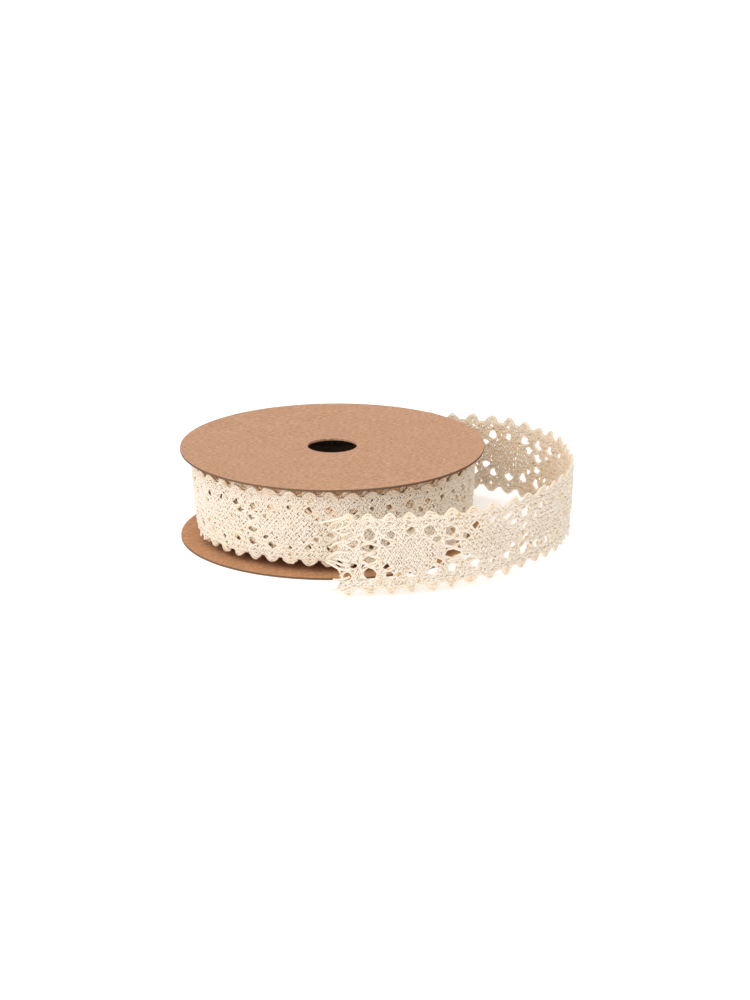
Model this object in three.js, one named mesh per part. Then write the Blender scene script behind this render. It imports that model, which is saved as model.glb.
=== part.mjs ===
// A kraft card spool wound with cotton bobbin lace, with the loose end looped round to the front.
// All sizes are in millimetres, with +Z up and the front of the loop towards -Y.
import * as THREE from "three";
import { mergeGeometries } from "three/addons/utils/BufferGeometryUtils.js";

// Card spool
const FLANGE_RADIUS = 40;
const FLANGE_HOLE_RADIUS = 6.5;
const CARD_THICKNESS = 0.6;
const SPOOL_HEIGHT = 24.3;
const CORE_RADIUS = 16;
const CORE_WALL = 1.4;
const CLEARANCE = 0.3;
const DISC_SEGMENTS = 80;
const CORE_SEGMENTS = 48;

// Lace
const LACE_WIDTH = 21.5;
const LACE_THICKNESS = 1;
const PICOT_PITCH = 5.4;
const PICOT_HEIGHT = 1.7;
const PICOTS_PER_REPEAT = 4;
const COLUMNS_PER_PICOT = 4;

// Roll
const ROLL_RADIUS = 37.3;
const ROLL_REPEATS = 11;
const OUTER_TURN_BOTTOM = 2.2;
const OUTER_TURN_TOP = 22.6;
const INNER_TURNS_BOTTOM = 1.3;
const INNER_TURNS_TOP = 23.1;
const SPIRAL_STEP = LACE_THICKNESS + CLEARANCE;
const LEAVING_ANGLE = Math.PI / 2 + 0.09;
const SIDE_TAPER = 1.4;
const OUTER_TURNS_DEPTH = 3;
const EDGE_WANDER = 0.35;
const EDGE_WAVES = 3;
const TURN_WANDER = 0.2;
const TURN_WAVES = 5;

// Outline of one picot: distance from its middle along the edge, share of the picot height.
const PICOT_OUTLINE = [
  [-1.8, 0.05],
  [-0.85, 0.72],
  [0, 1],
  [0.85, 0.72],
  [1.8, 0.05],
];

// Open gaps by the picots of one repeat, where picot 0 is at the legs and picot 2 at the leaf.
// Each gap is mirrored over the middle line.
// picot, along from the picot, across from the middle line, length, width, turn in degrees
const GAPS = [
  [0, 0, 5.1, 3.3, 2.7, 0],
  [0, 0, 1.55, 4.4, 1.4, 0],
  [1, -1.2, 3, 2.4, 1.4, -12],
  [1, 0.5, 5.3, 2.9, 2.4, 10],
  [2, 0, 5.6, 2.4, 1.8, 0],
  [3, -0.5, 5.3, 2.9, 2.4, -10],
  [3, 1.2, 3, 2.4, 1.4, 12],
];
const GAP_CORNERS = 6;

// Raised and sunk places on the outer turn: share of the way from the lace's middle line to its edge, then
// how far the face sinks at the legs, after the legs, at the leaf and after the leaf.
const TURN_RELIEF = [
  [-1, 0, 0, 0, 0],
  [-0.72, 0, 0.1, 0, 0.1],
  [-0.47, 0.6, 0.4, 0.5, 0.4],
  [0, 0.3, 0.1, 0, 0.1],
  [0.47, 0.6, 0.4, 0.5, 0.4],
  [0.72, 0, 0.1, 0, 0.1],
  [1, 0, 0, 0, 0],
];

// Path of the loose end's lower edge, from the roll to the cut end.
// x, y, lift over the table, outward lean of the upper edge in degrees
const TAIL_STATIONS = [
  [-3, 36.8, 1.4, 0],
  [14, 36.8, 1.2, -2],
  [28, 36.6, 1, -2],
  [40.5, 33.7, 1.2, 0],
  [51, 25.8, 1.3, 3],
  [58, 14.3, 1.1, 4],
  [61, 1.3, 1.2, 4],
  [61, -12, 2, 4],
  [57.7, -25, 2.6, 5],
  [50.5, -36, 2.5, 7],
  [40.5, -45, 1.8, 7],
  [29, -50.5, 1, 1],
  [16, -54, 0.5, -7],
  [1.2, -55, 0.4, -12],
];
const TAIL_PICOTS = 33;
const LAST_LEGS_PICOT = TAIL_PICOTS - 2;

// Ragged line of the scissor cut: distance across the lace, length of lace lost there.
const CUT_LINE = [
  [-8.4, 0],
  [-5, 0.9],
  [-1.5, 0.1],
  [2.2, 0.8],
  [5.6, 0],
  [8.4, 0.6],
];

// One flat card ring or short tube, standing on its lower face.
function cardRing(outerRadius, innerRadius, height, segments) {
  const outline = new THREE.Shape().absarc(0, 0, outerRadius, 0, 2 * Math.PI);
  outline.holes.push(new THREE.Path().absarc(0, 0, innerRadius, 0, 2 * Math.PI, true));
  return new THREE.ExtrudeGeometry(outline, {
    depth: height,
    bevelEnabled: false,
    curveSegments: segments / 2,
  });
}

// The wound lace: a lathed ring whose outer turn is scalloped, uneven and stepped where the end leaves it.
function woundLace() {
  const columns = ROLL_REPEATS * PICOTS_PER_REPEAT * COLUMNS_PER_PICOT;
  const boreRadius = CORE_RADIUS + CLEARANCE;
  const innerTurnsRadius = ROLL_RADIUS - OUTER_TURNS_DEPTH;
  const middle = (OUTER_TURN_TOP + OUTER_TURN_BOTTOM) / 2;
  const half = (OUTER_TURN_TOP - OUTER_TURN_BOTTOM) / 2;
  const profile = [
    [boreRadius, INNER_TURNS_BOTTOM],
    [innerTurnsRadius, INNER_TURNS_BOTTOM],
    [innerTurnsRadius + CLEARANCE, middle - half],
    ...TURN_RELIEF.map(([across]) => [ROLL_RADIUS, middle + across * half]),
    [innerTurnsRadius + CLEARANCE, middle + half],
    [innerTurnsRadius, INNER_TURNS_TOP],
    [boreRadius, INNER_TURNS_TOP],
    [boreRadius, INNER_TURNS_BOTTOM],
  ].map(([radius, height]) => new THREE.Vector2(radius, height));
  const ring = new THREE.LatheGeometry(profile, columns, LEAVING_ANGLE + Math.PI / 2);
  ring.rotateX(Math.PI / 2);

  const points = ring.attributes.position;
  const firstSkinRow = 3;
  for (let i = 0; i < points.count; i++) {
    const row = i % profile.length;
    const column = Math.floor(i / profile.length) % columns;
    const skinRow = row - firstSkinRow;
    const lastSkinRow = TURN_RELIEF.length - 1;
    const onSkin = skinRow >= 0 && skinRow <= lastSkinRow;
    const onEdge = [-1, 0, lastSkinRow, lastSkinRow + 1].includes(skinRow);
    if (!onSkin && !onEdge) continue;

    const angle = Math.atan2(points.getY(i), points.getX(i));
    let radius = Math.hypot(points.getX(i), points.getY(i));
    let height = points.getZ(i);
    const fromMiddle = height - middle;
    const picotPhase = (column / COLUMNS_PER_PICOT) % 1;
    const repeatPlace = Math.floor(column / COLUMNS_PER_PICOT) % PICOTS_PER_REPEAT;

    if (onEdge) {
      const valley = 0.5 - 0.5 * Math.cos(2 * Math.PI * picotPhase);
      height -= Math.sign(fromMiddle) * PICOT_HEIGHT * valley;
      height += EDGE_WANDER * Math.sin(EDGE_WAVES * angle);
    }
    if (onSkin) {
      const sinks = TURN_RELIEF[skinRow].slice(1);
      const nextSink = sinks[(repeatPlace + 1) % PICOTS_PER_REPEAT];
      const unwound = column === 0 ? 1 : column / columns;
      const taperSide = 0.5 - 0.5 * Math.cos(angle);
      radius -= SPIRAL_STEP * unwound;
      radius -= THREE.MathUtils.lerp(sinks[repeatPlace], nextSink, picotPhase);
      radius -= SIDE_TAPER * taperSide * Math.max(0, -fromMiddle / half);
      radius -= TURN_WANDER * Math.sin(TURN_WAVES * angle);
    }
    points.setXYZ(i, radius * Math.cos(angle), radius * Math.sin(angle), height);
  }
  return ring;
}

// The flat lace round one picot, from valley to valley, lying along X with its width along Y.
// Its ends are left open where the next picot's lace goes on.
function laceAtPicot(picot) {
  const start = picot * PICOT_PITCH;
  const end = start + PICOT_PITCH;
  const tip = (start + end) / 2;
  const valley = LACE_WIDTH / 2 - PICOT_HEIGHT;
  const edge = PICOT_OUTLINE.map(([along, rise]) => [tip + along, valley + rise * PICOT_HEIGHT]);
  const isFirst = picot === 0;
  const isLast = picot === TAIL_PICOTS - 1;
  const outline = new THREE.Shape([
    new THREE.Vector2(start, -valley),
    ...edge.map(([along, across]) => new THREE.Vector2(along, -across)),
    new THREE.Vector2(end, -valley),
    ...(isLast ? CUT_LINE.map(([across, lost]) => new THREE.Vector2(end - lost, across)) : []),
    new THREE.Vector2(end, valley),
    ...edge.reverse().map(([along, across]) => new THREE.Vector2(along, across)),
    new THREE.Vector2(start, valley),
  ]);

  const repeatPlace = THREE.MathUtils.euclideanModulo(picot - LAST_LEGS_PICOT, PICOTS_PER_REPEAT);
  for (const [place, along, across, length, width, turn] of GAPS) {
    if (place !== repeatPlace) continue;
    for (const side of [-1, 1]) {
      const round = new THREE.EllipseCurve(tip + along, side * across, length / 2, width / 2);
      round.aRotation = THREE.MathUtils.degToRad(side * turn);
      outline.holes.push(new THREE.Path(round.getPoints(GAP_CORNERS).slice(1)));
    }
  }

  const sheet = new THREE.ExtrudeGeometry(outline, { depth: LACE_THICKNESS, bevelEnabled: false });
  sheet.translate(0, 0, -LACE_THICKNESS / 2);
  const points = sheet.attributes.position;
  const kept = [];
  for (let i = 0; i < points.count; i += 3) {
    const along = [points.getX(i), points.getX(i + 1), points.getX(i + 2)];
    const atStart = along.every((place) => Math.abs(place - start) < 1e-3);
    const atEnd = along.every((place) => Math.abs(place - end) < 1e-3);
    if ((atStart && !isFirst) || (atEnd && !isLast)) continue;
    kept.push(...points.array.slice(3 * i, 3 * i + 9));
  }
  return new THREE.BufferGeometry().setAttribute("position", new THREE.Float32BufferAttribute(kept, 3));
}

// The loose end: flat lace bent to follow its path round the spool.
function looseEnd() {
  const places = TAIL_STATIONS.map(([x, y, lift]) => new THREE.Vector3(x, y, lift));
  const tilts = TAIL_STATIONS.map(([, , , lean]) => new THREE.Vector3(lean, 0, 0));
  const path = new THREE.CatmullRomCurve3(places);
  const leans = new THREE.CatmullRomCurve3(tilts);
  path.arcLengthDivisions = 2000;
  const pathLength = path.getLength();
  const startOfLace = pathLength - TAIL_PICOTS * PICOT_PITCH;
  const up = new THREE.Vector3(0, 0, 1);

  const lace = mergeGeometries(Array.from({ length: TAIL_PICOTS }, (_, picot) => laceAtPicot(picot)));
  const points = lace.attributes.position;
  for (let i = 0; i < points.count; i++) {
    const place = path.getUtoTmapping((startOfLace + points.getX(i)) / pathLength);
    const forward = path.getTangent(place).setZ(0).normalize();
    const outward = new THREE.Vector3(-forward.y, forward.x, 0);
    const lean = THREE.MathUtils.degToRad(leans.getPoint(place).x);
    const across = up.clone().multiplyScalar(Math.cos(lean)).addScaledVector(outward, Math.sin(lean));
    const inward = new THREE.Vector3().crossVectors(forward, across);
    const point = path
      .getPoint(place)
      .addScaledVector(across, points.getY(i) + LACE_WIDTH / 2)
      .addScaledVector(inward, points.getZ(i));
    points.setXYZ(i, point.x, point.y, point.z);
  }
  return lace;
}

const card = new THREE.MeshStandardMaterial({ color: 0xc69c7f, roughness: 0.85, metalness: 0 });
const cotton = new THREE.MeshStandardMaterial({ color: 0xefe4d2, roughness: 0.95, metalness: 0 });
const spool = new THREE.Group();

function addNode(name, geometry, material, height) {
  const mesh = new THREE.Mesh(geometry, material);
  mesh.name = name;
  mesh.position.z = height;
  spool.add(mesh);
}

const coreHeight = SPOOL_HEIGHT - 2 * CARD_THICKNESS - 2 * CLEARANCE;
const flange = cardRing(FLANGE_RADIUS, FLANGE_HOLE_RADIUS, CARD_THICKNESS, DISC_SEGMENTS);
const core = cardRing(CORE_RADIUS, CORE_RADIUS - CORE_WALL, coreHeight, CORE_SEGMENTS);
addNode("bottom_flange", flange, card, 0);
addNode("top_flange", flange, card, SPOOL_HEIGHT - CARD_THICKNESS);
addNode("card_core", core, card, CARD_THICKNESS + CLEARANCE);
addNode("lace_roll", woundLace(), cotton, 0);
addNode("lace_tail", looseEnd(), cotton, 0);

// The origin is the middle of the foot of the whole object.
const box = new THREE.Box3().setFromObject(spool);
const middle = box.getCenter(new THREE.Vector3());
spool.position.set(-middle.x, -middle.y, -box.min.z);

export default spool;
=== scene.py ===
import math

import bmesh
import bpy
import numpy as np
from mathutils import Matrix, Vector


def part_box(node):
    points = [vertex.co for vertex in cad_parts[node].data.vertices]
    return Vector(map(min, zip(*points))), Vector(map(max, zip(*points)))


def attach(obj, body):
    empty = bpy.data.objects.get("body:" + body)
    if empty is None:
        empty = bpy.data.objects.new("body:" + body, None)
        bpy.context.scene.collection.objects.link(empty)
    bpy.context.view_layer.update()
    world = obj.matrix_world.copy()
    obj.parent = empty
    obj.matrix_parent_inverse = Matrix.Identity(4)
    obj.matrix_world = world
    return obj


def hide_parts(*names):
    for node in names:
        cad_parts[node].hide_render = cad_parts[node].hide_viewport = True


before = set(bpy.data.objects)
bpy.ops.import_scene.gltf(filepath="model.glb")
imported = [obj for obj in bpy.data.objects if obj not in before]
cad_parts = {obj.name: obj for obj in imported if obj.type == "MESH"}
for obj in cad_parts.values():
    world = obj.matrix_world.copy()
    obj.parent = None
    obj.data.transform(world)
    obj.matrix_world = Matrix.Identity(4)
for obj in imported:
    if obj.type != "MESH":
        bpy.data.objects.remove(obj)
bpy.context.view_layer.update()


# Kraft card discs
# Two rings punched from thin brown kraft card, with a darker line painted at the sheared rim as shade;
# the lower ring is coloured redder and darker as painted shade under the roll. They are glued to the
# ends of the core, and keep the wound lace between them.
DISC_RADIUS = 0.040
HOLE_RADIUS = 0.0065
CARD_THICKNESS = 0.0006
CUT_ROUNDING = 0.00009
RIM_STEPS = 144
RING_CUTS = 9
TOP_WARP = 0.00008
WARP_START = 0.8
KRAFT_PALE = (0.735, 0.425, 0.27, 1)
KRAFT_DEEP = (0.39, 0.215, 0.127, 1)
# The lower disc's colours: the same card, redder and darker as painted shade under the roll.
LOWER_SHADED_PALE = (0.74, 0.39, 0.205, 1)
LOWER_SHADED_DEEP = (0.36, 0.18, 0.088, 1)
KRAFT_FLECK = (0.22, 0.115, 0.065, 1)
# Colours of the sheared rim: dark, painted shade of the thin edge.
CUT_SHADE_PALE = (0.23, 0.14, 0.09, 1)
CUT_SHADE_DEEP = (0.10, 0.058, 0.036, 1)

lowest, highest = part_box("bottom_flange")
AXIS_X = (lowest.x + highest.x) / 2
AXIS_Y = (lowest.y + highest.y) / 2


def add_node(tree, kind, inputs=None, **settings):
    """A shader node with its sockets set to values or joined to other nodes' outputs."""
    node = tree.nodes.new(kind)
    for name, value in settings.items():
        setattr(node, name, value)
    for name, value in (inputs or {}).items():
        if isinstance(value, bpy.types.NodeSocket):
            tree.links.new(value, node.inputs[name])
        else:
            node.inputs[name].default_value = value
    return node


def new_group(name, ins, outs):
    """An empty shader node group with its sockets named, and the nodes that hold them."""
    group = bpy.data.node_groups.new(name, "ShaderNodeTree")
    for label, kind in ins:
        group.interface.new_socket(label, in_out="INPUT", socket_type=kind)
    for label, kind in outs:
        group.interface.new_socket(label, in_out="OUTPUT", socket_type=kind)
    return group, add_node(group, "NodeGroupInput"), add_node(group, "NodeGroupOutput")


def add_group(tree, group, inputs):
    """A use of a shader node group in a material."""
    return add_node(tree, "ShaderNodeGroup", inputs, node_tree=group)


def colour_mix(tree, factor, first, second):
    """The blend of two colours by a mask, as an output to join on."""
    sockets = {"Factor": factor, "A": first, "B": second}
    return add_node(tree, "ShaderNodeMix", sockets, data_type="RGBA").outputs["Result"]


def new_material(name):
    """A material with a Principled shader joined to its output, and the tree to build on."""
    material = bpy.data.materials.new(name)
    material.use_nodes = True
    tree = material.node_tree
    tree.nodes.clear()
    shader = add_node(tree, "ShaderNodeBsdfPrincipled")
    add_node(tree, "ShaderNodeOutputMaterial", {"Surface": shader.outputs["BSDF"]})
    return material, tree, shader


def add_piece(name, mesh, materials):
    """An object at the origin that rides on the spool, with the given materials."""
    piece = bpy.data.objects.new(name, mesh)
    bpy.context.scene.collection.objects.link(piece)
    for material in materials:
        mesh.materials.append(material)
    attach(piece, "root")
    return piece


def kraft_fibre_group():
    """Paper fibres: a streaky tone, a mask of dark flecks and a height for the bump."""
    group, ins, outs = new_group(
        "kraft_fibres",
        [("Place", "NodeSocketVector")],
        [("Tone", "NodeSocketFloat"), ("Fleck", "NodeSocketFloat"), ("Height", "NodeSocketFloat")],
    )
    stretched = add_node(group, "ShaderNodeMapping", {"Vector": ins.outputs["Place"], "Scale": (0.3, 1, 1)})
    streaks = add_node(
        group, "ShaderNodeTexNoise",
        {"Vector": stretched.outputs["Vector"], "Scale": 3000.0, "Detail": 3.0, "Roughness": 0.75},
    )
    clouds = add_node(
        group, "ShaderNodeTexNoise",
        {"Vector": ins.outputs["Place"], "Scale": 130.0, "Detail": 3.0, "Roughness": 0.55},
    )
    tone = add_node(
        group, "ShaderNodeMath",
        {0: streaks.outputs["Fac"], 1: 0.93}, operation="MULTIPLY",
    )
    tone = add_node(
        group, "ShaderNodeMath",
        {0: clouds.outputs["Fac"], 1: 0.07, 2: tone.outputs["Value"]}, operation="MULTIPLY_ADD",
    )
    tone = add_node(
        group, "ShaderNodeMapRange",
        {"Value": tone.outputs["Value"], "From Min": 0.36, "From Max": 0.64},
    )
    specks = add_node(
        group, "ShaderNodeTexNoise",
        {"Vector": stretched.outputs["Vector"], "Scale": 2300.0, "Detail": 2.0, "Roughness": 0.5},
    )
    fleck = add_node(
        group, "ShaderNodeMapRange",
        {"Value": specks.outputs["Fac"], "From Min": 0.66, "From Max": 0.76},
    )
    group.links.new(tone.outputs["Result"], outs.inputs["Tone"])
    group.links.new(fleck.outputs["Result"], outs.inputs["Fleck"])
    group.links.new(streaks.outputs["Fac"], outs.inputs["Height"])
    return group


def kraft_face(name, deep, pale):
    """The plain face of the card: streaky brown with dark flecks and a soft tooth."""
    material, tree, shader = new_material(name)
    place = add_node(tree, "ShaderNodeTexCoord").outputs["Object"]
    fibres = add_group(tree, KRAFT_FIBRES, {"Place": place})
    brown = colour_mix(tree, fibres.outputs["Tone"], deep, pale)
    flecked = colour_mix(tree, fibres.outputs["Fleck"], brown, KRAFT_FLECK)
    bump = add_node(
        tree, "ShaderNodeBump",
        {"Height": fibres.outputs["Height"], "Strength": 0.12, "Distance": 0.00012},
    )
    tree.links.new(flecked, shader.inputs["Base Color"])
    tree.links.new(bump.outputs["Normal"], shader.inputs["Normal"])
    shader.inputs["Roughness"].default_value = 0.86
    shader.inputs["Specular IOR Level"].default_value = 0.25
    return material


def kraft_cut_shade(name):
    """The sheared edge of the card: dark as painted shade, with the layers showing as fine level lines."""
    material, tree, shader = new_material(name)
    place = add_node(tree, "ShaderNodeTexCoord").outputs["Object"]
    level = add_node(tree, "ShaderNodeMapping", {"Vector": place, "Scale": (0.12, 0.12, 1)})
    layers = add_node(
        tree, "ShaderNodeTexNoise",
        {"Vector": level.outputs["Vector"], "Scale": 5200.0, "Detail": 3.0, "Roughness": 0.6},
    )
    brown = colour_mix(tree, layers.outputs["Fac"], CUT_SHADE_DEEP, CUT_SHADE_PALE)
    bump = add_node(
        tree, "ShaderNodeBump",
        {"Height": layers.outputs["Fac"], "Strength": 0.5, "Distance": 0.0001},
    )
    tree.links.new(brown, shader.inputs["Base Color"])
    tree.links.new(bump.outputs["Normal"], shader.inputs["Normal"])
    shader.inputs["Roughness"].default_value = 0.92
    shader.inputs["Specular IOR Level"].default_value = 0.15
    return material


def punched_disc(name, node, warp, face_card):
    """A card ring on the place of its CAD disc; warp lifts two opposite quarters a little."""
    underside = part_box(node)[0].z
    shape = bmesh.new()
    bmesh.ops.create_circle(shape, segments=RIM_STEPS, radius=DISC_RADIUS)
    bmesh.ops.create_circle(shape, segments=RIM_STEPS, radius=HOLE_RADIUS)
    bmesh.ops.bridge_loops(shape, edges=shape.edges[:])
    spokes = []
    for edge in shape.edges:
        if edge.calc_length() > DISC_RADIUS / 2:
            spokes.append(edge)
    bmesh.ops.subdivide_edges(shape, edges=spokes, cuts=RING_CUTS, use_grid_fill=True)
    bmesh.ops.recalc_face_normals(shape, faces=shape.faces[:])
    bmesh.ops.solidify(shape, geom=shape.faces[:], thickness=CARD_THICKNESS)
    bmesh.ops.recalc_face_normals(shape, faces=shape.faces[:])
    rims = []
    for edge in shape.edges:
        if len(edge.link_faces) == 2 and edge.calc_face_angle() > math.radians(60):
            rims.append(edge)
    bmesh.ops.bevel(
        shape, geom=rims, offset=CUT_ROUNDING, segments=2, profile=0.5, affect="EDGES",
    )
    bottom = min(vertex.co.z for vertex in shape.verts)
    for vertex in shape.verts:
        turn = math.atan2(vertex.co.y, vertex.co.x)
        reach = math.hypot(vertex.co.x, vertex.co.y) / DISC_RADIUS
        vertex.co.z += underside - bottom + warp * reach * reach * math.sin(2 * turn + WARP_START)
        vertex.co.x += AXIS_X
        vertex.co.y += AXIS_Y
    for face in shape.faces:
        place = face.calc_center_median()
        at_rim = math.hypot(place.x - AXIS_X, place.y - AXIS_Y) > DISC_RADIUS / 2
        face.material_index = 1 if at_rim and abs(face.normal.z) < 0.5 else 0
    mesh = bpy.data.meshes.new(name)
    shape.to_mesh(mesh)
    shape.free()
    piece = add_piece(name, mesh, [face_card, KRAFT_CUT_SHADE])
    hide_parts(node)
    return piece


KRAFT_FIBRES = kraft_fibre_group()
KRAFT_CUT_SHADE = kraft_cut_shade("kraft_card_cut_edge_shaded")
shaded_lower_face = kraft_face("kraft_card_lower_face_shaded", LOWER_SHADED_DEEP, LOWER_SHADED_PALE)
upper_face = kraft_face("kraft_card_upper_face", KRAFT_DEEP, KRAFT_PALE)
bottom_disc = punched_disc("bottom_disc", "bottom_flange", 0.0, shaded_lower_face)
top_disc = punched_disc("top_disc", "top_flange", TOP_WARP, upper_face)


# Card core
# The core is a short tube of brown card, wound from strips glued on a slant.
# The lace starts on it. Its card is coloured dark as painted shade, standing for the dark inside seen
# through the hole of the upper disc.
CORE_SEAM_PITCH = 0.009
# Dark colours of the core card: painted shade for the dark hole inside it.
CORE_SHADE_PALE = (0.15, 0.10, 0.07, 1)
CORE_SHADE_DEEP = (0.08, 0.05, 0.035, 1)


def shaded_core_card(name):
    """Tube card, coloured dark as painted shade, with the slanting joints of its strips."""
    material, tree, shader = new_material(name)
    place = add_node(tree, "ShaderNodeTexCoord").outputs["Object"]
    fibres = add_group(tree, KRAFT_FIBRES, {"Place": place})
    slant = add_node(tree, "ShaderNodeMapping", {"Vector": place, "Rotation": (0.5, 0.0, 0.0)})
    strips = add_node(
        tree, "ShaderNodeTexWave",
        {"Vector": slant.outputs["Vector"], "Scale": 0.5 / CORE_SEAM_PITCH, "Distortion": 0.4},
        bands_direction="Z",
    )
    seam = add_node(
        tree, "ShaderNodeMapRange",
        {"Value": strips.outputs["Fac"], "From Min": 0.0, "From Max": 0.06},
    )
    tone = add_node(
        tree, "ShaderNodeMath",
        {0: fibres.outputs["Tone"], 1: seam.outputs["Result"]}, operation="MULTIPLY",
    )
    brown = colour_mix(tree, tone.outputs["Value"], CORE_SHADE_DEEP, CORE_SHADE_PALE)
    tree.links.new(brown, shader.inputs["Base Color"])
    shader.inputs["Roughness"].default_value = 0.9
    shader.inputs["Specular IOR Level"].default_value = 0.2
    return material


card_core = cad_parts["card_core"]
card_core.data.materials.clear()
card_core.data.materials.append(shaded_core_card("shaded_core_card"))


# Wound lace
# About three metres of cotton lace are wound on the core, turn over turn, like a tape.
# The inner turns show only as the stacked thread edges under the discs, and are one ring here;
# the two outermost turns are made of their threads, with the pattern of the loose end.
MM = 0.001
LACE_WIDTH = 21.5
HALF_WIDTH = LACE_WIDTH / 2
PICOT_PITCH = 5.4
REPEAT = 4 * PICOT_PITCH
LEGS_AT = 18.9
BAND_EDGE = 9.0
PAIRS = 24
PAIRS_PER_PASS = 12
PAIRS_PER_REPEAT = 16
TWIN_OFFSET = 0.2
BOTH_TWINS = (-TWIN_OFFSET, TWIN_OFFSET)
CROSSINGS = 24
WEAVE_HEIGHT = 0.3
THREAD_RADIUS = 0.185
HEIGHT_STRAY = 0.12
GIRTH_STRAY = 0.16
TONE_STRAY = 0.15
RISING_TONE = 0.1
PIN_SHARPNESS = 3.0
PIN_REACH = 1.7
RIM_MARGIN = 0.8
# Gaps of one repeat, on both sides of the middle line: picot, along, across, length, width, turn.
GAPS = [
    (0, 0.0, 5.05, 3.5, 3.0, 0),
    (0, 0.0, 1.6, 4.6, 1.5, 0),
    (1, -1.5, 3.1, 2.6, 1.7, -15),
    (1, 0.4, 5.3, 2.9, 2.6, 15),
    (2, 0.0, 5.7, 2.4, 2.0, 0),
    (3, -0.4, 5.3, 2.9, 2.6, -15),
    (3, 1.5, 3.1, 2.6, 1.7, 15),
]
# Pin-holes of the edge band, at each picot and halfway, and those of the solid leaf's ends.
PIN_HOLES = [(picot, 0.0, 7.75, 1.3, 0.9, 0) for picot in range(4)]
PIN_HOLES += [(picot, 2.7, 7.7, 0.5, 0.5, 0) for picot in range(4)]
PIN_HOLES += [(1, -0.3, 0.75, 0.45, 0.45, 0), (3, 0.3, 0.75, 0.45, 0.45, 0)]
PIN_HOLES += [(1, 0.7, 2.0, 0.4, 0.4, 0), (3, -0.7, 2.0, 0.4, 0.4, 0)]
PIN_UNEVEN = (0.72, 1.08)
PIN_STRAY = 0.22
# Nested loops of a picot: half width, height, and which side of the lace it lies on.
PICOT_LOOPS = [(1.75, 1.55, 0.16), (1.4, 1.15, -0.16), (1.0, 0.72, 0.1), (0.55, 0.3, -0.1)]
PICOT_ROUNDNESS = (1.4, 2.1)
PICOT_STRETCH = (0.78, 1.1)
PICOT_LEAN = 0.3
PICOT_STRAY = 0.05
PICOT_OVERRUN = 1.25
PICOT_STEPS = 12
WOUND_PICOT_SIZE = 0.8
PASSIVES = [6.9, 8.75]
PASSIVE_STEP = 0.6
PASSIVE_WAVE = 0.16
PASSIVE_SWAY = 0.1
LEAVING_TURN = math.radians(93.9)
LEAVING_RADIUS = 36.75
SPIRAL_STEP = 0.7
TURN_LENGTH = 2 * math.pi * 36.2
ROLL_MIDDLE = 12.4
ROLL_SQUEEZE = 0.95
SIDE_TAPER = 1.4
OFF_CENTRE = 0.35
# Slow waves round the roll, in its radius and in its level: number, height.
ROLL_SWELL = (5, 0.2)
ROLL_DRIFT = (3, 0.25)
WOUND_GAP_SIZE = 0.8
WOUND_STRAY = 0.2
# Each turn's tone, then how much warmer and darker its threads get where they dip, as painted shade; the
# under turn's warmer tone is painted shade too.
OUTER_TONE_AND_SHADE = (0.0, 0.35)
UNDER_TONE_AND_SHADE = (0.45, 0.4)
WOUND_BULK = 1.36
WOUND_SIDES = 4
LEAVING_BLEND = 26.0
INNER_RADIUS = 16.4
BODY_RADIUS = 35.55
BODY_LOW = 3.6
BODY_HIGH = 22.8
BODY_TURNS = 13
BODY_STEPS = 132
# Warm tone of the inner ring, painted shade of the turns deep under the discs.
BODY_SHADE_TONE = 0.7
TURN_EDGE_STEP = 0.9
TURN_EDGE_STRAY = 0.3
TURN_EDGE_RIPPLE = 0.12
COTTON_PALE = (0.87, 0.79, 0.685, 1)
# The warm colour serves the cotton's own warmer patches and its painted shade.
COTTON_WARM_AND_SHADE = (0.84, 0.60, 0.355, 1)
# How much warmer and darker each thread's sides are coloured, as painted shade.
PAINTED_SIDE_SHADE = 0.36
COTTON_FLECK = (0.72, 0.50, 0.22, 1)
# The loose end's path along its lower edge: x, y, lift, outward lean in degrees, from the roll.
TAIL_STATIONS = [
    (-3, 36.8, 1.4, 0),
    (14, 36.8, 1.2, -2),
    (28, 36.6, 1, -2),
    (40.5, 33.7, 1.2, 0),
    (51, 25.8, 1.3, 3),
    (58, 14.3, 1.1, 4),
    (61, 1.3, 1.2, 4),
    (61, -12, 2, 4),
    (57.7, -25, 2.6, 5),
    (50.5, -36, 2.5, 7),
    (40.5, -45, 1.8, 7),
    (29, -50.5, 1, 1),
    (16, -54, 0.5, -7),
    (1.2, -55, 0.4, -12),
]
TAIL_LENGTH = 178.2
PAST_CUT = 12.0
COURSE_STEPS = 24
SLOPE_REACH = 0.4


def cotton_thread_group():
    """Two-ply cotton thread: slant of the plies as a height, and a mask of yellowish flecks."""
    group, ins, outs = new_group(
        "cotton_thread",
        [("Along", "NodeSocketVector"), ("Place", "NodeSocketVector")],
        [("Ply", "NodeSocketFloat"), ("Fleck", "NodeSocketFloat"), ("Warmth", "NodeSocketFloat")],
    )
    plies = add_node(
        group, "ShaderNodeTexWave",
        {"Vector": ins.outputs["Along"], "Scale": 0.3183, "Distortion": 0.6, "Detail": 1.0},
        bands_direction="DIAGONAL",
    )
    grime = add_node(
        group, "ShaderNodeTexNoise",
        {"Vector": ins.outputs["Place"], "Scale": 420.0, "Detail": 2.0, "Roughness": 0.5},
    )
    fleck = add_node(
        group, "ShaderNodeMapRange",
        {"Value": grime.outputs["Fac"], "From Min": 0.69, "From Max": 0.74},
    )
    clouds = add_node(
        group, "ShaderNodeTexNoise",
        {"Vector": ins.outputs["Place"], "Scale": 150.0, "Detail": 3.0, "Roughness": 0.6},
    )
    warmth = add_node(
        group, "ShaderNodeMapRange",
        {"Value": clouds.outputs["Fac"], "From Min": 0.35, "From Max": 0.7},
    )
    group.links.new(plies.outputs["Fac"], outs.inputs["Ply"])
    group.links.new(fleck.outputs["Result"], outs.inputs["Fleck"])
    group.links.new(warmth.outputs["Result"], outs.inputs["Warmth"])
    return group


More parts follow.
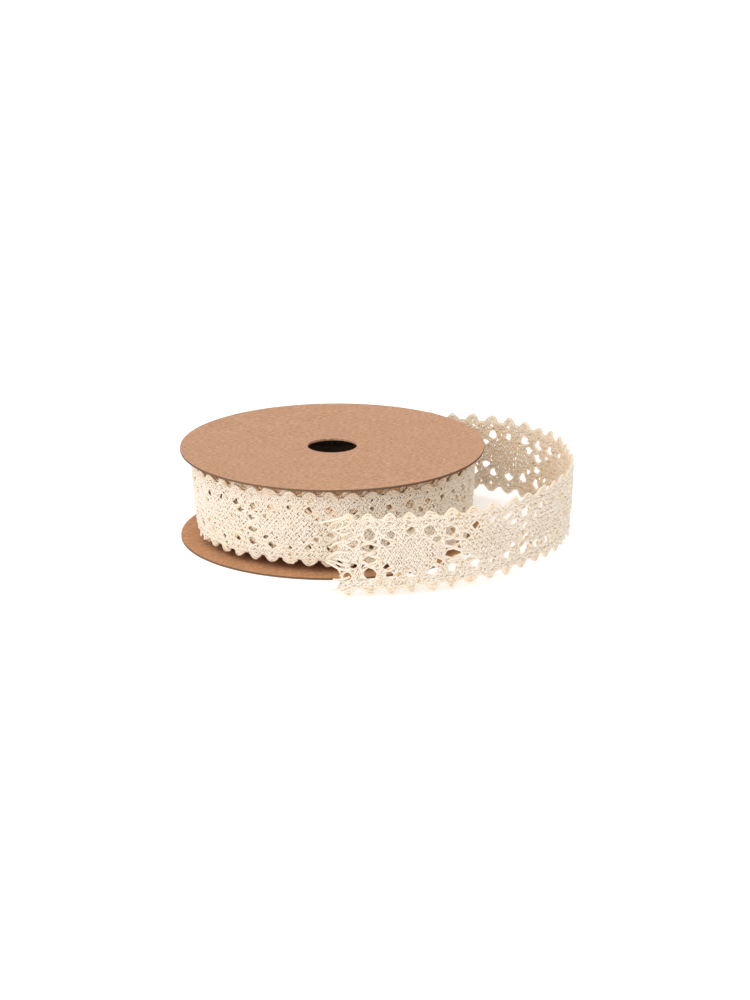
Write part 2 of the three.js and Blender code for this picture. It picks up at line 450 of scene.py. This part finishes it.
def cotton_lace(name):
    """Off-white cotton: slightly warmer in places, warmer and darker in its painted shade, matt, with the
    twist of its plies.
    """
    material, tree, shader = new_material(name)
    coordinates = add_node(tree, "ShaderNodeTexCoord")
    thread = add_group(
        tree, COTTON_THREAD,
        {"Along": coordinates.outputs["UV"], "Place": coordinates.outputs["Object"]},
    )
    # The tone attribute carries each thread's own tone and the painted shade of dips, sides and inner
    # turns.
    tone = add_node(tree, "ShaderNodeAttribute", attribute_name="tone")
    warmth = add_node(
        tree, "ShaderNodeMath",
        {0: thread.outputs["Warmth"], 1: 0.25, 2: tone.outputs["Fac"]}, operation="MULTIPLY_ADD",
    )
    cream = colour_mix(tree, warmth.outputs["Value"], COTTON_PALE, COTTON_WARM_AND_SHADE)
    flecked = colour_mix(tree, thread.outputs["Fleck"], cream, COTTON_FLECK)
    bump = add_node(
        tree, "ShaderNodeBump",
        {"Height": thread.outputs["Ply"], "Strength": 0.35, "Distance": 0.00008},
    )
    tree.links.new(flecked, shader.inputs["Base Color"])
    tree.links.new(bump.outputs["Normal"], shader.inputs["Normal"])
    shader.inputs["Roughness"].default_value = 0.9
    shader.inputs["Specular IOR Level"].default_value = 0.2
    shader.inputs["Sheen Weight"].default_value = 0.25
    shader.inputs["Sheen Roughness"].default_value = 0.5
    return material


def pattern_gaps():
    """Every gap of one repeat as centre along, centre across, half sizes and slant."""
    gaps = []
    for picot, along, across, length, width, turn in GAPS + PIN_HOLES:
        for side in (1, -1):
            gaps.append((
                picot * PICOT_PITCH + along,
                side * across,
                length / 2,
                width / 2,
                side * math.radians(turn),
            ))
    return gaps


def at_gap(along, across, number, gap, size, margin):
    """Where points lie from a gap's middle, in its own half sizes, each repeat a little uneven."""
    centre, middle, half_length, half_width, turn = gap
    dice = np.random.default_rng(500 + number)
    sizes = dice.uniform(*PIN_UNEVEN, 64)
    strays = dice.normal(0, PIN_STRAY, (2, 64))
    travel = along - LEGS_AT - centre + REPEAT / 2
    repeat = np.floor(travel / REPEAT).astype(int) % 64
    long_half = half_length * size * sizes[repeat] + margin
    wide_half = half_width * size * sizes[repeat] + margin
    offset = np.mod(travel, REPEAT) - REPEAT / 2 - strays[0][repeat]
    rise = across - middle - strays[1][repeat] * 0.7
    first = (offset * math.cos(turn) + rise * math.sin(turn)) / long_half
    second = (rise * math.cos(turn) - offset * math.sin(turn)) / wide_half
    return first, second, long_half, wide_half


def open_gaps(along, across, slope, size):
    """Threads led aside round each pin, as they are on a lace pillow."""
    moved_along = np.zeros_like(along)
    moved_across = np.zeros_like(across)
    for number, gap in enumerate(pattern_gaps()):
        turn = gap[4]
        first, second, long_half, wide_half = at_gap(along, across, number, gap, size, THREAD_RADIUS)
        go_first = (math.cos(turn) + slope * math.sin(turn)) / long_half
        go_second = (slope * math.cos(turn) - math.sin(turn)) / wide_half
        go = np.hypot(go_first, go_second)
        go_first = go_first / go
        go_second = go_second / go
        run = first * go_first + second * go_second
        aside = second * go_first - first * go_second
        need = np.cos(np.clip(run / PIN_REACH, -1, 1) * math.pi / 2)
        wide = (np.abs(aside) ** PIN_SHARPNESS + need ** PIN_SHARPNESS) ** (1 / PIN_SHARPNESS)
        push = np.where(aside < 0, -wide, wide) - aside
        push_along = -go_second * push * long_half
        push_across = go_first * push * wide_half
        moved_along += push_along * math.cos(turn) - push_across * math.sin(turn)
        moved_across += push_along * math.sin(turn) + push_across * math.cos(turn)
    return along + moved_along, across + moved_across


def clear_gaps(along, across, size):
    """Threads that still lie in a gap moved to its rim."""
    for number, gap in enumerate(pattern_gaps()):
        turn = gap[4]
        margin = RIM_MARGIN * THREAD_RADIUS
        first, second, long_half, wide_half = at_gap(along, across, number, gap, size, margin)
        reach = np.maximum(np.hypot(first, second), 0.05)
        out = np.where(reach < 1, 1 / reach - 1, 0)
        push_along = first * out * long_half
        push_across = second * out * wide_half
        along = along + push_along * math.cos(turn) - push_across * math.sin(turn)
        across = across + push_along * math.sin(turn) + push_across * math.cos(turn)
    return along, across


def wobble(along, across, seed, size, reach):
    """A smooth seeded unevenness over the lace, about size high and reach long."""
    dice = np.random.default_rng(seed)
    total = np.zeros_like(along)
    for _ in range(7):
        turn = dice.uniform(0, 2 * math.pi)
        rate = 2 * math.pi / (reach * dice.uniform(0.6, 1.6))
        start = dice.uniform(0, 2 * math.pi)
        total += np.sin(rate * (along * math.cos(turn) + across * math.sin(turn)) + start)
    return total * size / 2.2


def softened(values, times):
    """A thread's course with its sharp turns rounded."""
    for _ in range(times):
        values = np.concatenate((
            values[:1],
            (values[:-2] + 2 * values[1:-1] + values[2:]) / 4,
            values[-1:],
        ))
    return values


def braid_threads(first, last, steps, twins, gap_size, stray, tone_and_shade, seed, relief=1.0, ragged=0.0):
    """The plaited pairs from one edge to the other: along, across, height, thickness, tone with painted
    shade.
    """
    dice = np.random.default_rng(seed)
    line = REPEAT / PAIRS_PER_REPEAT
    count = CROSSINGS * steps
    slant = 2 * BAND_EDGE / (PAIRS_PER_PASS * line)
    threads = []
    for pair in range(PAIRS):
        for twin in twins:
            begin = math.ceil((first / line - pair) / PAIRS_PER_PASS * count)
            cut = last + ragged * dice.uniform(-1, 0.6)
            end = math.floor((cut / line - pair) / PAIRS_PER_PASS * count)
            passes = np.arange(begin, end + 1) / count
            along = (passes * PAIRS_PER_PASS + pair + twin) * line
            phase = np.mod(passes, 2)
            rising = phase < 1
            across = BAND_EDGE * np.where(rising, 2 * phase - 1, 3 - 2 * phase)
            part = np.mod(passes, 1)
            near_edge = np.minimum(1, CROSSINGS * np.minimum(part, 1 - part))
            height = np.where(rising, -1, 1) * WEAVE_HEIGHT * np.cos(math.pi * CROSSINGS * part)
            height = height * near_edge
            along, across = open_gaps(along, across, np.where(rising, slant, -slant), gap_size)
            across = np.clip(across, -BAND_EDGE, BAND_EDGE)
            along = softened(along + dice.normal(0, stray, len(along)), 2 * steps)
            across = softened(across + dice.normal(0, stray, len(across)), 2 * steps)
            along, across = clear_gaps(along, across, gap_size)
            along = softened(along, 1)
            across = softened(across, 1)
            height = relief * (height + softened(dice.normal(0, HEIGHT_STRAY, len(height)), 1))
            uneven = softened(dice.normal(1, GIRTH_STRAY * relief, len(along)), 2)
            thickness = THREAD_RADIUS * dice.uniform(0.9, 1.1) * uneven
            family = np.where(rising, -RISING_TONE, RISING_TONE)
            tone = tone_and_shade[0] + dice.uniform(-TONE_STRAY, TONE_STRAY) + family
            # Where a thread dips under others its tone goes warmer and darker: painted shade of the weave's
            # hollows.
            tone = tone - tone_and_shade[1] * height / WEAVE_HEIGHT
            threads.append((along, across, height, thickness, tone))
    return threads


def edge_threads(first, last, seed, picot_size=1.0):
    """The lengthwise threads of the edge bands and the loops of the picots, on both edges."""
    dice = np.random.default_rng(seed)
    threads = []
    length = np.arange(first, last, PASSIVE_STEP)
    for place in PASSIVES:
        for side in (1, -1):
            height = PASSIVE_WAVE * np.sin(length * 2.4 + dice.uniform(0, 6))
            sway = np.sin(length * 2 * math.pi / PICOT_PITCH + dice.uniform(0, 6))
            across = side * place + PASSIVE_SWAY * sway
            thickness = THREAD_RADIUS * np.ones(len(length))
            threads.append((length, across, height, thickness, dice.uniform(-0.2, 0.1)))
    course = np.linspace(-PICOT_OVERRUN, PICOT_OVERRUN, PICOT_STEPS)
    first_picot = math.ceil((first - 1) / PICOT_PITCH)
    last_picot = math.floor((last - 4) / PICOT_PITCH)
    for picot in range(first_picot, last_picot + 1):
        tip = (picot + 0.5) * PICOT_PITCH
        for side in (1, -1):
            lean = dice.normal(0, PICOT_LEAN)
            stretch = dice.uniform(*PICOT_STRETCH) * picot_size
            roundness = dice.uniform(*PICOT_ROUNDNESS)
            for half, rise, layer in PICOT_LOOPS:
                along = tip + half * course + lean * (1 - np.abs(course))
                across = side * (BAND_EDGE + rise * stretch * (1 - np.abs(course) ** roundness))
                along = along + dice.normal(0, PICOT_STRAY, len(course))
                across = across + dice.normal(0, PICOT_STRAY, len(course))
                height = layer * np.cos(course * 2.4) + dice.normal(0, 0.06, len(course))
                girth = THREAD_RADIUS * dice.uniform(0.95, 1.3)
                thickness = girth * dice.uniform(0.85, 1.15, len(course))
                threads.append((along, across, height, thickness, dice.uniform(-0.2, 0.15)))
    return threads


def tail_course():
    """The loose end's path as a smooth curve: distance, x, y, lift and lean at close steps."""
    points = np.array(TAIL_STATIONS, float)
    points = np.vstack((2 * points[0] - points[1], points, 2 * points[-1] - points[-2]))
    course = []
    for at in range(1, len(points) - 2):
        before, start, end, after = points[at - 1 : at + 3]
        gap_before = np.linalg.norm(start[:3] - before[:3]) ** 0.5
        gap = np.linalg.norm(end[:3] - start[:3]) ** 0.5
        gap_after = np.linalg.norm(after[:3] - end[:3]) ** 0.5
        leave = (start - before) / gap_before - (end - before) / (gap_before + gap) + (end - start) / gap
        enter = (end - start) / gap - (after - start) / (gap + gap_after) + (after - end) / gap_after
        leave = leave * gap
        enter = enter * gap
        for t in np.linspace(0, 1, COURSE_STEPS, endpoint=False):
            course.append(
                start + leave * t
                + (-3 * start + 3 * end - 2 * leave - enter) * t ** 2
                + (2 * start - 2 * end + leave + enter) * t ** 3
            )
    course.append(points[-2])
    course = np.array(course)
    distance = np.concatenate(([0], np.cumsum(np.linalg.norm(np.diff(course[:, :3], axis=0), axis=1))))
    ahead = course[-1] + (course[-1] - course[-2]) * PAST_CUT / (distance[-1] - distance[-2])
    ahead[3] = course[-1][3]
    distance = distance - (distance[-1] - TAIL_LENGTH)
    return np.append(distance, TAIL_LENGTH + PAST_CUT), np.vstack((course, ahead))


def lace_place(along, across, height):
    """Points of the flat lace put on the roll (along below zero) or on the loose end, in metres."""
    turns = -along / TURN_LENGTH
    turn = LEAVING_TURN + 2 * math.pi * turns
    wound = np.clip(-along / LEAVING_BLEND, 0, 1)
    wound = wound * wound * (3 - 2 * wound)
    squeeze = np.where(turns < 1.01, ROLL_SQUEEZE, 1.0)
    taper = SIDE_TAPER * (0.5 - 0.5 * np.cos(turn)) * np.clip(-across / HALF_WIDTH, 0, 1)
    swell = ROLL_SWELL[1] * np.sin(ROLL_SWELL[0] * turn)
    radius = LEAVING_RADIUS - SPIRAL_STEP * turns - wound * (taper + swell) + height
    radius = radius + wound * OFF_CENTRE * np.cos(turn)
    level = (1 - wound) * (TAIL_STATIONS[0][2] + HALF_WIDTH) + wound * ROLL_MIDDLE
    drift = ROLL_DRIFT[1] * np.sin(ROLL_DRIFT[0] * turn)
    level = level + wound * drift + across * (1 - wound * (1 - squeeze))
    on_roll = np.stack((radius * np.cos(turn), radius * np.sin(turn), level), axis=-1)

    distance, course = TAIL_COURSE
    x, y, lift, lean = [np.interp(along, distance, course[:, column]) for column in range(4)]
    slope_x, slope_y = [
        np.interp(along + SLOPE_REACH, distance, course[:, column])
        - np.interp(along - SLOPE_REACH, distance, course[:, column])
        for column in range(2)
    ]
    size = np.maximum(np.hypot(slope_x, slope_y), 1e-6)
    out_x = -slope_y / size
    out_y = slope_x / size
    lean = np.radians(lean)
    up = across + HALF_WIDTH
    outward = up * np.sin(lean) + height * np.cos(lean)
    level = lift + up * np.cos(lean) - height * np.sin(lean)
    on_tail = np.stack((x + out_x * outward, y + out_y * outward, level), axis=-1)

    placed = np.where((along < 0)[..., None], on_roll, on_tail) * MM
    return placed + np.array((AXIS_X, AXIS_Y, 0))


def unit(vectors):
    """Vectors of length one."""
    return vectors / np.maximum(np.linalg.norm(vectors, axis=-1, keepdims=True), 1e-12)


def thread_mesh(name, threads, sides, bulk):
    """Threads as round tubes in one mesh, with their length and girth as its UV."""
    ring = 2 * math.pi * np.arange(sides) / sides
    points, faces, uvs, tone_and_shade = [], [], [], []
    count = 0
    for along, across, height, thickness, tone in threads:
        uneven = wobble(along, across, seed=5, size=0.12, reach=9)
        across = across + wobble(along, across, seed=6, size=0.1, reach=8)
        height = height + wobble(along, across, seed=8, size=0.2, reach=14)
        centre = lace_place(along + uneven, across, height)
        above = lace_place(along + uneven, across, height + 0.1)
        forward = unit(np.gradient(centre, axis=0))
        sideways = unit(np.cross(forward, above - centre))
        upward = np.cross(sideways, forward)
        girth = thickness[:, None, None] * bulk * MM
        tube = centre[:, None] + girth * (
            upward[:, None] * np.cos(ring)[None, :, None] + sideways[:, None] * np.sin(ring)[None, :, None]
        )
        steps = len(centre)
        points.append(tube.reshape(-1, 3))
        near = count + np.arange(steps - 1)[:, None] * sides + np.arange(sides)[None, :]
        beside = count + np.arange(steps - 1)[:, None] * sides + (np.arange(sides)[None, :] + 1) % sides
        faces.append(np.stack((near, beside, beside + sides, near + sides), axis=-1).reshape(-1, 4))
        length = np.concatenate(([0], np.cumsum(np.linalg.norm(np.diff(centre, axis=0), axis=1)))) / MM
        low = np.broadcast_to(length[:-1, None], (steps - 1, sides))
        high = np.broadcast_to(length[1:, None], (steps - 1, sides))
        part = np.broadcast_to(np.arange(sides)[None, :] / sides, (steps - 1, sides))
        corner = [
            np.stack((low, part), -1),
            np.stack((low, part + 1 / sides), -1),
            np.stack((high, part + 1 / sides), -1),
            np.stack((high, part), -1),
        ]
        uvs.append(np.stack(corner, axis=2).reshape(-1, 2))
        # Each thread is coloured warmer and darker at its sides: painted shade between neighbouring
        # threads.
        side_shade = PAINTED_SIDE_SHADE * (0.5 - 0.5 * np.cos(2 * ring))
        tone_and_shade.append(((tone * np.ones(steps))[:, None] + side_shade[None, :]).ravel())
        count += steps * sides
    faces = np.concatenate(faces)
    mesh = bpy.data.meshes.new(name)
    mesh.from_pydata(np.concatenate(points).tolist(), [], faces.tolist())
    layer = mesh.uv_layers.new(name="thread")
    layer.data.foreach_set("uv", np.concatenate(uvs).astype(np.float32).ravel())
    attribute = mesh.attributes.new("tone", "FLOAT", "POINT")
    attribute.data.foreach_set("value", np.concatenate(tone_and_shade).astype(np.float32))
    mesh.shade_smooth()
    return mesh


def wound_body(name):
    """The inner turns as one ring, with the edge of each turn standing a little up or down, toned warm as
    painted shade.
    """
    dice = np.random.default_rng(21)
    radii = np.linspace(INNER_RADIUS, BODY_RADIUS, 2 * BODY_TURNS + 1)
    profile = []
    for number, radius in enumerate(radii):
        step = TURN_EDGE_STEP if number % 2 == 0 else 0
        profile.append((radius, BODY_HIGH - step - dice.uniform(0, TURN_EDGE_STRAY)))
    for number, radius in reversed(list(enumerate(radii))):
        step = TURN_EDGE_STEP if number % 2 == 0 else 0
        profile.append((radius, BODY_LOW + step + dice.uniform(0, TURN_EDGE_STRAY)))
    shape = bmesh.new()
    corners = []
    for radius, level in profile:
        corners.append(shape.verts.new((radius * MM, 0, level * MM)))
    edges = []
    for number in range(len(corners)):
        edges.append(shape.edges.new((corners[number], corners[(number + 1) % len(corners)])))
    bmesh.ops.spin(
        shape, geom=corners + edges, cent=(0, 0, 0), axis=(0, 0, 1),
        angle=2 * math.pi, steps=BODY_STEPS, use_merge=True,
    )
    bmesh.ops.remove_doubles(shape, verts=shape.verts[:], dist=1e-6)
    bmesh.ops.recalc_face_normals(shape, faces=shape.faces[:])
    for vertex in shape.verts:
        turn = math.atan2(vertex.co.y, vertex.co.x)
        radius = math.hypot(vertex.co.x, vertex.co.y) / MM
        ripple = math.sin(40 * turn + 9 * radius) + 0.6 * math.sin(17 * turn - 5 * radius)
        vertex.co.z += TURN_EDGE_RIPPLE * MM * ripple
        unwound = (turn - LEAVING_TURN) / (2 * math.pi) % 1
        inward = SPIRAL_STEP * unwound * (radius - INNER_RADIUS) / (BODY_RADIUS - INNER_RADIUS)
        below = max(0, (ROLL_MIDDLE - vertex.co.z / MM) / HALF_WIDTH)
        inward += SIDE_TAPER * (0.5 - 0.5 * math.cos(turn)) * below
        inward -= OFF_CENTRE * math.cos(turn)
        vertex.co.x *= (radius - inward) / radius
        vertex.co.y *= (radius - inward) / radius
        vertex.co.x += AXIS_X
        vertex.co.y += AXIS_Y
    mesh = bpy.data.meshes.new(name)
    shape.to_mesh(mesh)
    shape.free()
    mesh.shade_smooth()
    attribute = mesh.attributes.new("tone", "FLOAT", "POINT")
    attribute.data.foreach_set("value", np.full(len(mesh.vertices), BODY_SHADE_TONE, np.float32))
    return mesh


def lace_piece(name, threads, sides, bulk, node):
    """A piece of lace made of its threads, in the place of a CAD solid."""
    piece = add_piece(name, thread_mesh(name, threads, sides, bulk), [COTTON_LACE])
    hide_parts(node)
    return piece


TAIL_COURSE = tail_course()
COTTON_THREAD = cotton_thread_group()
COTTON_LACE = cotton_lace("cotton_lace")

inner_turns = add_piece("inner_turns", wound_body("inner_turns"), [COTTON_LACE])
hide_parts("lace_roll")
under_threads = braid_threads(
    -2 * TURN_LENGTH, -TURN_LENGTH, steps=1, twins=BOTH_TWINS,
    gap_size=WOUND_GAP_SIZE, stray=WOUND_STRAY, tone_and_shade=UNDER_TONE_AND_SHADE, seed=31,
)
under_threads += edge_threads(-2 * TURN_LENGTH, -TURN_LENGTH, 32, WOUND_PICOT_SIZE)
under_turn = lace_piece("under_turn", under_threads, WOUND_SIDES, WOUND_BULK, "lace_roll")
outer_threads = braid_threads(
    -TURN_LENGTH, 0, steps=2, twins=BOTH_TWINS[:1],
    gap_size=WOUND_GAP_SIZE, stray=WOUND_STRAY, tone_and_shade=OUTER_TONE_AND_SHADE, seed=33,
)
outer_threads += edge_threads(-TURN_LENGTH, 0, 34, WOUND_PICOT_SIZE)
outer_turn = lace_piece("outer_turn", outer_threads, WOUND_SIDES, WOUND_BULK, "lace_roll")
twin_threads = braid_threads(
    -TURN_LENGTH, 0, steps=2, twins=BOTH_TWINS[1:],
    gap_size=WOUND_GAP_SIZE, stray=WOUND_STRAY, tone_and_shade=OUTER_TONE_AND_SHADE, seed=35,
)
outer_turn_twins = lace_piece("outer_turn_twins", twin_threads, WOUND_SIDES, WOUND_BULK, "lace_roll")


# Loose end
# The last turn of the lace leaves the roll at the back and loops round to the front.
# It stands on its edge by its own stiffness, and its cut end is a little frayed.
CUT_RAGGED = 1.6
TAIL_STRAY = 0.13
# The loose end's tone, then how much warmer and darker its threads get where they dip, as painted shade.
TAIL_TONE_AND_SHADE = (-0.08, 0.25)
TAIL_RELIEF = 1.35
TAIL_BULK = 1.2
TAIL_SIDES = 5
FRAY_ROOT = 3.0
FRAY_BOW = 0.7
FRAY_STEPS = 12
# Loose threads past the cut end: across, then along, across and height moved at its far end.
FRAY = [
    (9.9, 4.6, -1.5, 0.6),
    (9.3, 2.4, -2.4, -0.3),
    (7.4, 1.4, -1.2, 0.5),
    (5.6, 0.9, 0.8, 0.4),
    (3.4, 1.9, -1.6, 0.7),
    (2.0, 1.0, 0.6, -0.3),
    (0.4, 2.6, -1.4, 0.6),
    (-1.6, 0.9, 0.7, 0.4),
    (-3.0, 2.6, 1.9, 0.5),
    (-3.9, 2.9, 2.4, 0.7),
    (-5.6, 1.2, -0.6, 0.3),
    (-7.9, 2.2, -1.1, 0.5),
    (-8.8, 1.6, -1.5, 0.2),
]


def frayed_threads(seed):
    """Threads that came loose at the cut end, each a short bow."""
    dice = np.random.default_rng(seed)
    course = np.linspace(0, 1, FRAY_STEPS)
    threads = []
    for across, reach, rise, out in FRAY:
        along = TAIL_LENGTH - FRAY_ROOT + (FRAY_ROOT + reach) * course
        bow = dice.uniform(-FRAY_BOW, FRAY_BOW) * np.sin(math.pi * course)
        up = across + rise * course ** 2 + bow
        height = out * course ** 1.5 + 0.3 * np.sin(course * 5)
        thickness = THREAD_RADIUS * (1.5 - 0.7 * course ** 4)
        threads.append((along, up, height, thickness, dice.uniform(-0.3, 0.0)))
    return threads


tail_threads = braid_threads(
    0, TAIL_LENGTH, steps=2, twins=BOTH_TWINS[:1], gap_size=1.0,
    stray=TAIL_STRAY, tone_and_shade=TAIL_TONE_AND_SHADE, seed=41, relief=TAIL_RELIEF, ragged=CUT_RAGGED,
)
loose_end = lace_piece("loose_end", tail_threads, TAIL_SIDES, TAIL_BULK, "lace_tail")
twin_threads = braid_threads(
    0, TAIL_LENGTH, steps=2, twins=BOTH_TWINS[1:], gap_size=1.0,
    stray=TAIL_STRAY, tone_and_shade=TAIL_TONE_AND_SHADE, seed=42, relief=TAIL_RELIEF, ragged=CUT_RAGGED,
)
loose_end_twins = lace_piece("loose_end_twins", twin_threads, TAIL_SIDES, TAIL_BULK, "lace_tail")
edging = edge_threads(0, TAIL_LENGTH, 43) + frayed_threads(44)
loose_end_edging = lace_piece("loose_end_edging", edging, TAIL_SIDES, TAIL_BULK, "lace_tail")


# Studio
# A pale floor under soft light: a broad lamp from the front left, a weaker one from the front,
# and an even, faintly warm surround. The camera stands far off with a long lens.
FLOOR_RADIUS = 4.0
FLOOR_PALE = (0.95, 0.95, 0.95, 1)
FLOOR_GLOW = 0.35
SURROUND = (1, 0.975, 0.94, 1)
SURROUND_STRENGTH = 0.8
CAMERA_LENS = 198.0
CAMERA_DISTANCE = 1.4487
CAMERA_RISE = math.radians(17.02)
CAMERA_ROLL = math.radians(-0.30)
SPOOL_MIDDLE = Vector((AXIS_X, AXIS_Y, 0.012))
AIM = SPOOL_MIDDLE + Vector((0.01116, -0.00079, -0.00258))

floor_shape = bmesh.new()
bmesh.ops.create_circle(floor_shape, cap_ends=True, segments=96, radius=FLOOR_RADIUS)
floor_mesh = bpy.data.meshes.new("floor")
floor_shape.to_mesh(floor_mesh)
floor_shape.free()
floor = bpy.data.objects.new("floor", floor_mesh)
bpy.context.scene.collection.objects.link(floor)
floor_material, floor_tree, floor_shader = new_material("floor_paper")
floor_shader.inputs["Base Color"].default_value = FLOOR_PALE
floor_shader.inputs["Emission Color"].default_value = (1, 1, 1, 1)
floor_shader.inputs["Emission Strength"].default_value = FLOOR_GLOW
floor_shader.inputs["Roughness"].default_value = 0.9
floor_shader.inputs["Specular IOR Level"].default_value = 0.1
floor_mesh.materials.append(floor_material)

world = bpy.data.worlds.new("surround")
world.use_nodes = True
backdrop = world.node_tree.nodes["Background"]
backdrop.inputs["Color"].default_value = SURROUND
backdrop.inputs["Strength"].default_value = SURROUND_STRENGTH
bpy.context.scene.world = world


def soft_lamp(name, place, width, strength):
    """A broad far lamp that shines from a direction, evenly over the floor."""
    light = bpy.data.lights.new(name, "SUN")
    light.angle = math.radians(width)
    light.energy = strength
    lamp = bpy.data.objects.new(name, light)
    lamp.location = SPOOL_MIDDLE + Vector(place)
    lamp.rotation_euler = (SPOOL_MIDDLE - lamp.location).to_track_quat("-Z", "Y").to_euler()
    bpy.context.scene.collection.objects.link(lamp)
    return lamp


soft_lamp("key_lamp", (-0.8, -0.75, 0.95), 60.0, 1.06)
soft_lamp("front_lamp", (0.0, -1.2, 0.45), 70.0, 0.26)

camera_data = bpy.data.cameras.new("camera")
camera_data.lens = CAMERA_LENS
camera_data.sensor_width = 36.0
camera = bpy.data.objects.new("camera", camera_data)
reach = Vector((0, -math.cos(CAMERA_RISE), math.sin(CAMERA_RISE))) * CAMERA_DISTANCE
camera.location = SPOOL_MIDDLE + reach
camera.rotation_euler = (AIM - camera.location).to_track_quat("-Z", "Y").to_euler()
camera.rotation_euler.rotate_axis("Z", CAMERA_ROLL)
bpy.context.scene.collection.objects.link(camera)
bpy.context.scene.camera = camera
bpy.context.scene.view_settings.view_transform = "Standard"
